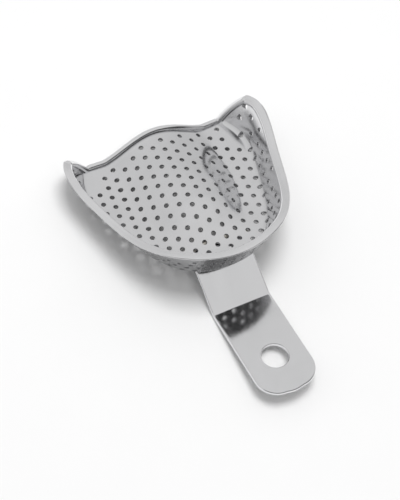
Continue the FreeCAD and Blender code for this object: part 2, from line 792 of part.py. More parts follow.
lo_a, hi_a = 0.0, math.radians(25)
for _ in range(40):
    mid_a = 0.5 * (lo_a + hi_a)
    if low(grip_cloud, mid_a) < low(bowl_cloud, mid_a):
        lo_a = mid_a
    else:
        hi_a = mid_a
lean = 0.5 * (lo_a + hi_a)
turn = Rotation(Vector(1, 0, 0), -math.degrees(lean))
ys, zs, xs = [], [], []
for obj in pieces:
    for x, y, z in cloud(obj.Shape):
        xs.append(x)
        ys.append(y * math.cos(lean) + z * math.sin(lean))
        zs.append(-y * math.sin(lean) + z * math.cos(lean))
shift = Vector(0, -0.5 * (min(ys) + max(ys)), -min(zs))
stand = Placement(shift, turn)
print("lean %.4f deg, shift %s, x %.3f %.3f, depth %.3f, height %.3f" % (
    math.degrees(lean), shift, min(xs), max(xs), max(ys) - min(ys), max(zs) - min(zs)))
shell.Placement = stand
flange_bead.Placement = stand
palatal_bead.Placement = stand
eye_centre = stand.multVec(centre)
handle.Placement = stand
blank.Placement = stand.multiply(blank.Placement)
braze.Placement = stand
doc.recompute()

# ------------------------------------------------------------------- checks
for obj in doc.Objects:
    if "Invalid" in obj.State or "Error" in obj.State:
        raise RuntimeError("%s is %s" % (obj.Name, obj.State))
for obj in pieces:
    s3 = obj.Shape
    if s3.isNull() or not s3.isValid() or len(s3.Solids) != 1:
        raise RuntimeError("%s has a bad shape" % obj.Label)
    print("%-14s volume %9.2f  box %s" % (obj.Label, s3.Volume, s3.BoundBox))
face_n = turn.multVec(Vector(0, -dz, dy))
print("eye centre", stand.multVec(centre), "axis", face_n)

os.makedirs("parts", exist_ok=True)
for obj in pieces:
    obj.Shape.exportStep("parts/%s.step" % obj.Label)
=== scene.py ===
import math

import bmesh
import bpy
import numpy as np
from mathutils import Matrix, Vector
from mathutils.bvhtree import BVHTree
from mathutils.geometry import delaunay_2d_cdt


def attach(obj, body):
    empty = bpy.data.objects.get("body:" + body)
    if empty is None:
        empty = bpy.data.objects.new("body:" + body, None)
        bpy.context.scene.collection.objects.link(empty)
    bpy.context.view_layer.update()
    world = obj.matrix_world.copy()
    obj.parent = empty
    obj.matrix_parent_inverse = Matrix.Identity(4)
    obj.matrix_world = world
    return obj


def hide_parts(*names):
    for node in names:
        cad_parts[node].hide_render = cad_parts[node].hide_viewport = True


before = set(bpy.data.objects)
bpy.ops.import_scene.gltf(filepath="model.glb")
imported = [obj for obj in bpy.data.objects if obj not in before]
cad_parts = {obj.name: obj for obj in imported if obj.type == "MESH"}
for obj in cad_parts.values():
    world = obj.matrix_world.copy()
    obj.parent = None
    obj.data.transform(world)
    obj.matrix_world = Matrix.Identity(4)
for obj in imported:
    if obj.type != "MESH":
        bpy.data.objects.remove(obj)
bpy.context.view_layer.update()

scene = bpy.context.scene

# Sizes in millimetres, in the tray's own pressing frame, the same as the CAD.
D = {
    "rim_xa": 0.0,
    "rim_ya": -65.08,
    "rim_za": 15.53,
    "rim_xb": 19.09,
    "rim_yb": -59.61,
    "rim_zb": 15.90,
    "rim_xc": 30.83,
    "rim_yc": -44.31,
    "rim_zc": 12.20,
    "rim_xd": 37.42,
    "rim_yd": -24.03,
    "rim_zd": 11.70,
    "rim_xe": 40.65,
    "rim_ye": -11.20,
    "rim_ze": 13.90,
    "rim_xf": 40.55,
    "rim_yf": -4.70,
    "rim_zf": 14.90,
    "rim_xg": 38.30,
    "rim_yg": 0.0,
    "rim_zg": 13.90,
    "rear_x1": 36.6,
    "rear_y1": 1.7,
    "rear_x2": 34.0,
    "rear_y2": 3.5,
    "rear_x3": 30.0,
    "rear_y3": 4.9,
    "rear_x4": 25.0,
    "rear_y4": 5.0,
    "rear_x5": 19.0,
    "rear_y5": 4.8,
    "rear_x6": 13.0,
    "rear_y6": 5.0,
    "rear_x7": 7.0,
    "rear_y7": 5.6,
    "rear_x8": 0.0,
    "rear_y8": 6.1,
    "sheet_gauge": 1.0,
    "floor_front": 0.3,
    "floor_rise": 1.5,
    "floor_flat_y": -50.0,
    "floor_span": 54.0,
    "wall_run": 6.2,
    "wall_run_tip": 9.8,
    "wall_datum": 0.83,
    "foot_radius": 2.3,
    "palate_rise": 8.0,
    "palate_front": -49.5,
    "palate_run": 19.0,
    "palate_half": 21.0,
    "palate_half_front": 15.5,
    "palate_crest": 2.1,
    "palate_ease": 0.2,
    "medial_front": -41.0,
    "bead_width": 2.7,
    "bead_height": 1.75,
    "rear_bead_width": 2.6,
    "rear_bead_height": 1.8,
    "rear_bead_end": 35.4,
    "hole_diameter": 1.7,
    "lattice_ox": -6.177,
    "lattice_oy": -25.580,
    "lattice_ax": 3.8893,
    "lattice_ay": -2.6121,
    "lattice_bx": -0.5497,
    "lattice_by": -4.4947,
    "stretch_iix": 0.0251,
    "stretch_ijx": 0.0330,
    "stretch_jjx": 0.0079,
    "stretch_iiy": 0.0212,
    "stretch_ijy": 0.0006,
    "stretch_jjy": 0.0351,
    "strip_width": 23.6,
    "strip_gauge": 1.8,
    "lap_rear_y": -45.8,
    "braze_gap": 0.12,
    "first_bend_y": -50.1,
    "second_bend_y": -67.74,
    "second_bend_z": -12.3,
    "grip_end_y": -108.1,
    "grip_end_z": -13.57,
    "bend_radius": 1.6,
    "end_corner_radius": 8.5,
    "strip_edge_radius": 0.55,
    "eye_diameter": 10.0,
    "eye_from_end": 15.9,
    "braze_reach": 1.3,
    "braze_depth": 1.2,
}


def dim(name):
    return D[name]


T = D["sheet_gauge"]


# ------------------------------------------------------------ small helpers
def natural_spline(ts, vs):
    """Natural cubic spline through (ts, vs); returns a function."""
    n = len(ts)
    hh = [ts[i + 1] - ts[i] for i in range(n - 1)]
    a = [0.0] * n
    b = [1.0] * n
    c = [0.0] * n
    d = [0.0] * n
    for i in range(1, n - 1):
        a[i] = hh[i - 1]
        b[i] = 2 * (hh[i - 1] + hh[i])
        c[i] = hh[i]
        d[i] = 6 * ((vs[i + 1] - vs[i]) / hh[i] - (vs[i] - vs[i - 1]) / hh[i - 1])
    for i in range(1, n):
        w = a[i] / b[i - 1]
        b[i] -= w * c[i - 1]
        d[i] -= w * d[i - 1]
    m = [0.0] * n
    m[-1] = d[-1] / b[-1]
    for i in range(n - 2, -1, -1):
        m[i] = (d[i] - c[i] * m[i + 1]) / b[i]

    def f(t):
        k = 0
        while k < n - 2 and t > ts[k + 1]:
            k += 1
        h0 = hh[k]
        p = (ts[k + 1] - t) / h0
        q = (t - ts[k]) / h0
        return (p * vs[k] + q * vs[k + 1]
                + ((p ** 3 - p) * m[k] + (q ** 3 - q) * m[k + 1]) * h0 * h0 / 6.0)
    return f


def smooth(x):
    x = min(1.0, max(0.0, x))
    return x * x * (3 - 2 * x)


# --------------------------------------------------- the rim and the surface
half = [(dim("rim_x" + k), dim("rim_y" + k), dim("rim_z" + k)) for k in "abcdefg"]
full = [(-x, y, z) for x, y, z in half[:0:-1]] + half
chord = [0.0]
for p, q in zip(full[:-1], full[1:]):
    chord.append(chord[-1] + math.dist(p, q))
mid = chord[len(half) - 1]
chord = [c - mid for c in chord]
S_END = chord[-1]
rim_x = natural_spline(chord, [p[0] for p in full])
rim_y = natural_spline(chord, [p[1] for p in full])
rim_z = natural_spline(chord, [p[2] for p in full])


def rim(s):
    """Point on the flange's outer upper edge; s runs -1 (left tip) to 1."""
    c = s * S_END
    return rim_x(c), rim_y(c), rim_z(c)


def inward(s):
    """Unit vector in plan, pointing into the tray."""
    e = 1e-3
    a = rim(max(-1.0, s - e))
    b = rim(min(1.0, s + e))
    tx, ty = b[0] - a[0], b[1] - a[1]
    m = math.hypot(tx, ty)
    return -ty / m, tx / m


rear_pts = [(dim("rear_x%d" % k), dim("rear_y%d" % k)) for k in range(8, 0, -1)]
rear_pts.append((half[-1][0], half[-1][1]))
rear_full = [(-x, y) for x, y in rear_pts[:0:-1]] + rear_pts
rear_y = natural_spline([p[0] for p in rear_full], [p[1] for p in rear_full])


def base_height(x, y):
    """Upper face of the pressed sheet away from the flanges: floor and palate."""
    r = max(0.0, (y - dim("floor_flat_y")) / dim("floor_span"))
    z = dim("floor_front") + dim("floor_rise") * r * r
    rise = dim("palate_rise") * smooth((y - dim("palate_front")) / dim("palate_run"))
    rise *= 1 - dim("palate_ease") * smooth((y + 25.0) / 30.0)
    u = smooth((y + 47.0) / 27.0)
    a = dim("palate_half_front") + (dim("palate_half") - dim("palate_half_front")) * u
    k = min(1.0, abs(x) / a)
    return z + rise * (1 - k ** dim("palate_crest")) ** 1.5


def base_normal(x, y):
    e = 0.02
    zx = (base_height(x + e, y) - base_height(x - e, y)) / (2 * e)
    zy = (base_height(x, y + e) - base_height(x, y - e)) / (2 * e)
    m = math.sqrt(1 + zx * zx + zy * zy)
    return -zx / m, -zy / m, 1 / m


def lean_to_rear(s):
    return smooth((abs(s) - 0.80) / 0.20)


def plan(s, q):
    """Plan point at distance q inside the rim, on station s (s >= 0)."""
    x, y, _ = rim(s)
    nx, ny = inward(s)
    px, py = x + nx * q, y + ny * q
    b = lean_to_rear(s)
    if b > 0.0:
        x1, y1, _ = rim(1.0)
        ex = x1 - q * 0.985
        ey = rear_y(ex)
        n1x, n1y = inward(1.0)
        px += b * (ex - (x1 + n1x * q))
        py += b * (ey - (y1 + n1y * q))
    return px, py


def wall_run(s):
    return dim("wall_run") + (dim("wall_run_tip") - dim("wall_run")) * smooth((abs(s) - 0.84) / 0.16)


def section(s):
    """Flange section at station s: slope and where its foot meets the floor."""
    zr = rim(s)[2]
    m = (zr - dim("wall_datum")) / wall_run(s)
    th = math.atan(m)
    r = dim("foot_radius")
    shift = T / math.sin(th)
    q_foot = 9.0
    for _ in range(4):
        fx, fy = plan(s, q_foot)
        floor = base_height(fx, fy)
        q_int = shift + (zr - floor) / m
        q_foot = q_int + r * math.tan(th / 2)
    return {"zr": zr, "m": m, "th": th, "shift": shift, "floor": floor,
            "q_int": q_int, "q_foot": q_foot, "r": r}


def blank_point(px, py):
    """A point of the flat punched blank, carried into the pressed tray.

    Inside the foot of the flange the blank keeps its plan position; outside it,
    the distance past the foot is measured up the flange.  Returns the point on
    the upper face and the face's normal, or None off the perforated field.
    """
    ax = abs(px)
    # nearest station by plan distance
    best = None
    for k in range(0, 101):
        s = k / 100.0
        x, y, _ = rim(s)
        d = (x - ax) ** 2 + (y - py) ** 2
        if best is None or d < best[0]:
            best = (d, s)
    s = best[1]
    step = 0.01
    for _ in range(12):
        for c in (s - step, s + step):
            if 0.0 <= c <= 1.0:
                x, y, _z = rim(c)
                d = (x - ax) ** 2 + (y - py) ** 2
                if d < best[0]:
                    best = (d, c)
        s = best[1]
        step *= 0.6
    x, y, _ = rim(s)
    nx, ny = inward(s)
    q = (ax - x) * nx + (py - y) * ny
    off_line = abs(-(ax - x) * ny + (py - y) * nx)
    sec = section(s)
    q_foot = sec["q_foot"]
    sg = -1.0 if px < 0 else 1.0
    if q > 0 and math.hypot(ax - x, py - y) >= q_foot:
        if py > rear_y(ax) - dim("rear_bead_width") - dim("hole_diameter") * 0.5 - 0.7:
            return None
        n = base_normal(ax, py)
        return (px, py, base_height(ax, py)), (sg * n[0], n[1], n[2])
    if off_line > 0.5:
        return None
    # up the foot's arc and then the flange
    run = q_foot - q
    th, r, F = sec["th"], sec["r"], sec["floor"]
    mean = r + 0.5 * T
    arc = mean * th
    if run <= arc:
        b = run / mean
        qq, zz = q_foot - r * math.sin(b), F + r - r * math.cos(b)
    else:
        b = th
        up = run - arc
        qq = q_foot - r * math.sin(th) - up * math.cos(th)
        zz = F + r - r * math.cos(th) + up * math.sin(th)
    free = (sec["zr"] - zz) / math.sin(th)
    if free < dim("bead_width") + dim("hole_diameter") * 0.5 + 0.7:
        return None
    if s > 0.955 and run > arc * 0.4:
        return None
    wx, wy = plan(s, qq)
    vx, vy = plan(s, qq + 0.2)
    m = math.hypot(vx - wx, vy - wy)
    ix, iy = (vx - wx) / m, (vy - wy) / m
    return (sg * wx, wy, zz), (sg * ix * math.sin(b), iy * math.sin(b), math.cos(b))


def perforation():
    """Every hole of the lattice as (point on the upper face, normal)."""
    out = []
    for i in range(-16, 17):
        for j in range(-12, 13):
            px = (dim("lattice_ox") + i * dim("lattice_ax") + j * dim("lattice_bx")
                  + i * i * dim("stretch_iix") + i * j * dim("stretch_ijx") + j * j * dim("stretch_jjx"))
            py = (dim("lattice_oy") + i * dim("lattice_ay") + j * dim("lattice_by")
                  + i * i * dim("stretch_iiy") + i * j * dim("stretch_ijy") + j * j * dim("stretch_jjy"))
            if abs(px) > 52 or py > 12 or py < -80:
                continue
            hit = blank_point(px, py)
            if hit:
                out.append(hit)
    # drop any that pressing would bring too close together
    keep = []
    for p, n in out:
        if all(math.dist(p, q) > dim("hole_diameter") + 0.9 for q, _ in keep):
            keep.append((p, n))
    return keep


# ------------------------------------------------ from pressing frame to row
LEAN = math.radians(11.5940)
SHIFT_Y, SHIFT_Z = 50.5730780284, 0.18138306793649184


def to_row(p):
    """Pressing frame in millimetres to the row frame in metres."""
    x, y, z = p
    c, n = math.cos(LEAN), math.sin(LEAN)
    return (x / 1000.0, (y * c + z * n + SHIFT_Y) / 1000.0, (-y * n + z * c + SHIFT_Z) / 1000.0)


def turn_row(v):
    x, y, z = v
    c, n = math.cos(LEAN), math.sin(LEAN)
    return Vector((x, y * c + z * n, -y * n + z * c))


def rows_to_row(a):
    a = np.asarray(a, float)
    c, n = math.cos(LEAN), math.sin(LEAN)
    out = np.empty_like(a)
    out[..., 0] = a[..., 0]
    out[..., 1] = a[..., 1] * c + a[..., 2] * n + SHIFT_Y
    out[..., 2] = -a[..., 1] * n + a[..., 2] * c + SHIFT_Z
    return out / 1000.0


# ---------------------------------------------------------------- materials
def new_mat(name):
    m = bpy.data.materials.new(name)
    m.use_nodes = True
    nt = m.node_tree
    for n in list(nt.nodes):
        nt.nodes.remove(n)
    out = nt.nodes.new("ShaderNodeOutputMaterial")
    b = nt.nodes.new("ShaderNodeBsdfPrincipled")
    nt.links.new(b.outputs["BSDF"], out.inputs["Surface"])
    return m, nt, b


def steel(name, base, rough, rough_var=0.05, brush=0.0, bump=0.00001, stain=0.05, seed=0.0):
    """Polished stainless: fine buffing marks, faint smears and small pits."""
    m, nt, b = new_mat(name)
    N, L = nt.nodes, nt.links
    tc = N.new("ShaderNodeTexCoord")

    def noise(scale, detail, x, dist=0.0, stretch=None):
        mp = N.new("ShaderNodeMapping")
        mp.inputs["Location"].default_value = (seed, seed * 0.7, seed * 1.3)
        if stretch:
            mp.inputs["Scale"].default_value = stretch
        L.new(tc.outputs["Object"], mp.inputs["Vector"])
        n = N.new("ShaderNodeTexNoise")
        n.inputs["Scale"].default_value = scale
        n.inputs["Detail"].default_value = detail
        n.inputs["Distortion"].default_value = dist
        L.new(mp.outputs["Vector"], n.inputs["Vector"])
        return n

    def remap(n, lo, hi, a, c):
        r = N.new("ShaderNodeMapRange")
        r.inputs["From Min"].default_value = lo
        r.inputs["From Max"].default_value = hi
        r.inputs["To Min"].default_value = a
        r.inputs["To Max"].default_value = c
        L.new(n.outputs["Fac"], r.inputs["Value"])
        return r

    smear = noise(55.0, 4.0, 0, 0.6)
    fine = noise(900.0, 3.0, 1)
    marks = noise(2600.0, 2.0, 2, stretch=(1.0, 0.06, 1.0))
    r1 = remap(smear, 0.3, 0.7, -rough_var, rough_var)
    r2 = remap(marks, 0.35, 0.65, -0.5 * rough_var, 0.5 * rough_var)
    add = N.new("ShaderNodeMath")
    add.operation = "ADD"
    L.new(r1.outputs["Result"], add.inputs[0])
    L.new(r2.outputs["Result"], add.inputs[1])
    add2 = N.new("ShaderNodeMath")
    add2.operation = "ADD"
    add2.use_clamp = True
    L.new(add.outputs[0], add2.inputs[0])
    add2.inputs[1].default_value = rough
    L.new(add2.outputs[0], b.inputs["Roughness"])
    # colour: slight cloudiness
    mix = N.new("ShaderNodeMix")
    mix.data_type = "RGBA"
    c2 = tuple(max(0.0, v * (1 - stain)) for v in base)
    mix.inputs["A"].default_value = (*base, 1)
    mix.inputs["B"].default_value = (*c2, 1)
    r3 = remap(smear, 0.4, 0.75, 0.0, 1.0)
    L.new(r3.outputs["Result"], mix.inputs["Factor"])
    L.new(mix.outputs["Result"], b.inputs["Base Color"])
    b.inputs["Metallic"].default_value = 1.0
    # surface: orange-peel of the polish, then buffing lines
    bp = N.new("ShaderNodeBump")
    bp.inputs["Strength"].default_value = 0.35
    bp.inputs["Distance"].default_value = bump
    L.new(fine.outputs["Fac"], bp.inputs["Height"])
    bp2 = N.new("ShaderNodeBump")
    bp2.inputs["Strength"].default_value = brush
    bp2.inputs["Distance"].default_value = bump * 0.6
    L.new(marks.outputs["Fac"], bp2.inputs["Height"])
    L.new(bp.outputs["Normal"], bp2.inputs["Normal"])
    L.new(bp2.outputs["Normal"], b.inputs["Normal"])
    return m


MAT_SHELL = steel("polished_pressed_steel", (0.76, 0.76, 0.77), 0.13, 0.04, 0.12, seed=1.3)
# underside steel: satin finish, with a darker colour that is painted shade for the dark reflections under the tray
MAT_OUTER_PAINTED_SHADE = steel("satin_back_steel_painted_shade", (0.46, 0.46, 0.47), 0.24, 0.06, 0.2, seed=3.9)
# hole walls: rougher punched edge, and a darker colour that is painted shade inside the holes
MAT_HOLE = steel("punched_edge_steel_painted_shade", (0.40, 0.40, 0.41), 0.34, 0.08, 0.3, seed=5.1)
MAT_BEAD = steel("polished_bead_steel", (0.82, 0.82, 0.83), 0.16, 0.04, 0.10, seed=2.2)
MAT_STRIP = steel("polished_strip_steel", (0.78, 0.78, 0.79), 0.12, 0.04, 0.12, seed=7.7)
MAT_BRAZE = steel("silver_braze", (0.66, 0.63, 0.57), 0.36, 0.12, 0.0, bump=0.00008, stain=0.25, seed=9.4)


# ------------------------------------------------------------- mesh helpers
def link(name, me, mats, node=None):
    ob = bpy.data.objects.new(name, me)
    scene.collection.objects.link(ob)
    for m in mats:
        me.materials.append(m)
    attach(ob, "root")
    if node:
        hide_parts(node)
    return ob


def clean_mesh(name, verts, faces, smooth=True):
    me = bpy.data.meshes.new(name)
    me.from_pydata([tuple(v) for v in verts], [], faces)
    bm = bmesh.new()
    bm.from_mesh(me)
    bmesh.ops.remove_doubles(bm, verts=bm.verts, dist=2e-7)
    bmesh.ops.dissolve_degenerate(bm, edges=bm.edges, dist=1e-8)
    bmesh.ops.recalc_face_normals(bm, faces=bm.faces)
    bm.to_mesh(me)
    bm.free()
    me.polygons.foreach_set("use_smooth", [smooth] * len(me.polygons))
    me.update()
    return me


def tube(name, rings, closed_ring=True):
    """Mesh through matching rings; each end is closed onto its own centre."""
    n = len(rings[0])
    verts = [p for r in rings for p in r]
    faces = []
    for i in range(len(rings) - 1):
        for j in range(n):
            k = (j + 1) % n
            faces.append((i * n + j, i * n + k, (i + 1) * n + k, (i + 1) * n + j))
    for end in (0, len(rings) - 1):
        c = np.mean(np.array(rings[end]), axis=0)
        verts.append(tuple(c))
        ci = len(verts) - 1
        for j in range(n):
            k = (j + 1) % n
            faces.append((end * n + j, end * n + k, ci))
    return clean_mesh(name, verts, faces)


def closed_spline(pts, n):
    """n points along a closed centripetal Catmull-Rom curve through pts."""
    pts = [np.array(p, float) for p in pts]
    m = len(pts)
    dense = []
    for i in range(m):
        p0, p1, p2, p3 = pts[i - 1], pts[i], pts[(i + 1) % m], pts[(i + 2) % m]
        t0 = 0.0
        t1 = t0 + max(1e-6, np.linalg.norm(p1 - p0)) ** 0.5
        t2 = t1 + max(1e-6, np.linalg.norm(p2 - p1)) ** 0.5
        t3 = t2 + max(1e-6, np.linalg.norm(p3 - p2)) ** 0.5
        for k in range(12):
            t = t1 + (t2 - t1) * k / 12
            a1 = (t1 - t) / (t1 - t0) * p0 + (t - t0) / (t1 - t0) * p1
            a2 = (t2 - t) / (t2 - t1) * p1 + (t - t1) / (t2 - t1) * p2
            a3 = (t3 - t) / (t3 - t2) * p2 + (t - t2) / (t3 - t2) * p3
            b1 = (t2 - t) / (t2 - t0) * a1 + (t - t0) / (t2 - t0) * a2
            b2 = (t3 - t) / (t3 - t1) * a2 + (t - t1) / (t3 - t1) * a3
            dense.append((t2 - t) / (t2 - t1) * b1 + (t - t1) / (t2 - t1) * b2)
    dense = np.array(dense + [dense[0]])
    d = np.r_[0, np.cumsum(np.linalg.norm(np.diff(dense, axis=0), axis=1))]
    t = np.linspace(0, d[-1], n, endpoint=False)
    return np.stack([np.interp(t, d, dense[:, k]) for k in range(dense.shape[1])], axis=1)


# -------------------------------------------------------------- tray shell
N_W, N_A, N_F = 14, 10, 46


def at(s, q, z):
    x, y = plan(abs(s), q)
    return (-x if s < 0 else x, y, z)


def fine_station(s):
    """Fine matching rows on the upper and lower faces at station s."""
    a = abs(s)
    sec = section(a)
    th, r, F = sec["th"], sec["r"], sec["floor"]
    tang = r * math.tan(th / 2)
    q_w = sec["q_int"] - tang * math.cos(th)
    z_w = F + tang * math.sin(th)
    cq, cz = sec["q_foot"], F + r
    ro = r + T
    q_wo, z_wo = cq - ro * math.sin(th), cz - ro * math.cos(th)
    top, low = [], []
    for i in range(N_W):
        k = i / N_W
        top.append((sec["shift"] + (q_w - sec["shift"]) * k, sec["zr"] + (z_w - sec["zr"]) * k))
        low.append((q_wo * k, sec["zr"] + (z_wo - sec["zr"]) * k))
    for i in range(N_A + 1):
        b = th * (1 - i / N_A)
        top.append((cq - r * math.sin(b), cz - r * math.cos(b)))
        low.append((cq - ro * math.sin(b), cz - ro * math.cos(b)))
    P = [at(s, q, z) for q, z in top]
    Q = [at(s, q, z) for q, z in low]
    ax, ay = plan(a, sec["q_foot"])
    bx, by = plan(a, sec["q_foot"] + 0.5)
    m = math.hypot(bx - ax, by - ay)
    dx, dy = (bx - ax) / m, (by - ay) / m
    my = dim("medial_front") + (rear_y(0.0) - dim("medial_front")) * a * a
    span = math.hypot(ax, my - ay)
    kx, ky = ax + dx * span * 0.45, ay + dy * span * 0.45
    lean = lean_to_rear(a)
    w = lean * lean if a <= 0.999 else 1.0
    sx = -1.0 if s < 0 else 1.0
    for i in range(1, N_F + 1):
        k = i / N_F
        x = (1 - k) ** 2 * ax + 2 * k * (1 - k) * kx
        y = (1 - k) ** 2 * ay + 2 * k * (1 - k) * ky + k * k * my
        if w > 0:
            xr = ax * (1 - k)
            yr = rear_y(xr) + (ay - rear_y(ax)) * (1 - k) + (my - rear_y(0.0)) * k
            x = x * (1 - w) + xr * w
            y = y * (1 - w) + yr * w
        if a == 0.0 or i == N_F:
            x = 0.0
        z = base_height(x, y)
        nx, ny, nz = base_normal(x, y)
        if x == 0.0:
            nx = 0.0
        P.append((sx * x, y, z))
        Q.append((sx * (x - nx * T), y - ny * T, z - nz * T))
    return P, Q


NSTA = 130
fine = [0.35 * math.sin(math.pi / 2 * i / NSTA) + 0.65 * i / NSTA for i in range(NSTA + 1)]
fine = [-s for s in fine[:0:-1]] + fine


def shell_base():
    up, lo = [], []
    for s in fine:
        P, Q = fine_station(s)
        up.append(P)
        lo.append(Q)
    up, lo = np.array(up), np.array(lo)
    ns, nt = up.shape[:2]
    verts = np.concatenate([up.reshape(-1, 3), lo.reshape(-1, 3)])
    U = lambda i, j: i * nt + j
    W = lambda i, j: ns * nt + i * nt + j
    faces = []
    for i in range(ns - 1):
        for j in range(nt - 1):
            faces.append((U(i, j), U(i, j + 1), U(i + 1, j + 1), U(i + 1, j)))
            faces.append((W(i, j), W(i + 1, j), W(i + 1, j + 1), W(i, j + 1)))
    extra = []

    def strip(a_idx, b_idx, outs):
        """Rounded edge between two rows of vertices, bulging by outs."""
        base = len(verts) + len(extra)
        A, B = verts[a_idx], verts[b_idx]
        mids = []
        steps = 5
        for k in range(1, steps):
            f = math.pi * k / steps
            w1 = 0.5 + 0.5 * math.cos(f)
            row = A * w1 + B * (1 - w1) + outs * (0.28 * math.sin(f))
            mids.append(row)
            extra.extend(row.tolist())
        rows = [list(a_idx)] + [[base + k * len(a_idx) + m for m in range(len(a_idx))] for k in range(steps - 1)] + [list(b_idx)]
        for k in range(len(rows) - 1):
            for m in range(len(a_idx) - 1):
                faces.append((rows[k][m], rows[k + 1][m], rows[k + 1][m + 1], rows[k][m + 1]))
        return rows

    # rim: straight strip (the bead covers it)
    for i in range(ns - 1):
        faces.append((U(i, 0), U(i + 1, 0), W(i + 1, 0), W(i, 0)))
    # rear edges: one row over both halves, joined at the midline
    left = [U(0, j) for j in range(nt)]
    right = [U(ns - 1, j) for j in range(nt)]
    leftb = [W(0, j) for j in range(nt)]
    rightb = [W(ns - 1, j) for j in range(nt)]
    for a_idx, b_idx, k in ((left, leftb, 1), (right, rightb, -1)):
        nxt = 1 if k == 1 else -2
        A = verts[a_idx]
        inner = verts[[x + (nt if k == 1 else -nt) for x in a_idx]]
        out = A - inner
        out /= np.linalg.norm(out, axis=1)[:, None]
        out[-1] = (0.0, out[-1][1], out[-1][2])
        rows = strip(a_idx, b_idx, out)
        # close the little triangle at the tip
        tip = [r[0] for r in rows]
        faces.append(tuple(tip))
    allv = np.concatenate([verts, np.array(extra)])
    return rows_to_row(allv), faces


def punch_tool(spots):
    """All the punches as one mesh: straight shank, with the slight roll of the
    struck edge above and the break-out edge below."""
    n = 24
    R = dim("hole_diameter") / 2
    prof = [(0.75, R + 0.62), (0.10, R + 0.16), (0.0, R + 0.10), (-0.16, R), (-T + 0.12, R), (-T, R + 0.08), (-T - 0.6, R + 0.55)]
    verts, faces = [], []
    for p, nv in spots:
        nv = Vector(nv).normalized()
        e1 = nv.orthogonal().normalized()
        e2 = nv.cross(e1)
        base = len(verts)
        for hgt, rad in prof:
            for k in range(n):
                f = 2 * math.pi * k / n
                q = Vector(p) + nv * hgt + e1 * (rad * math.cos(f)) + e2 * (rad * math.sin(f))
                verts.append(tuple(q))
        for a in range(len(prof) - 1):
            for k in range(n):
                k2 = (k + 1) % n
                faces.append((base + a * n + k, base + (a + 1) * n + k, base + (a + 1) * n + k2, base + a * n + k2))
        faces.append(tuple(base + k for k in range(n)))
        faces.append(tuple(base + (len(prof) - 1) * n + k for k in range(n))[::-1])
    return rows_to_row(verts), faces


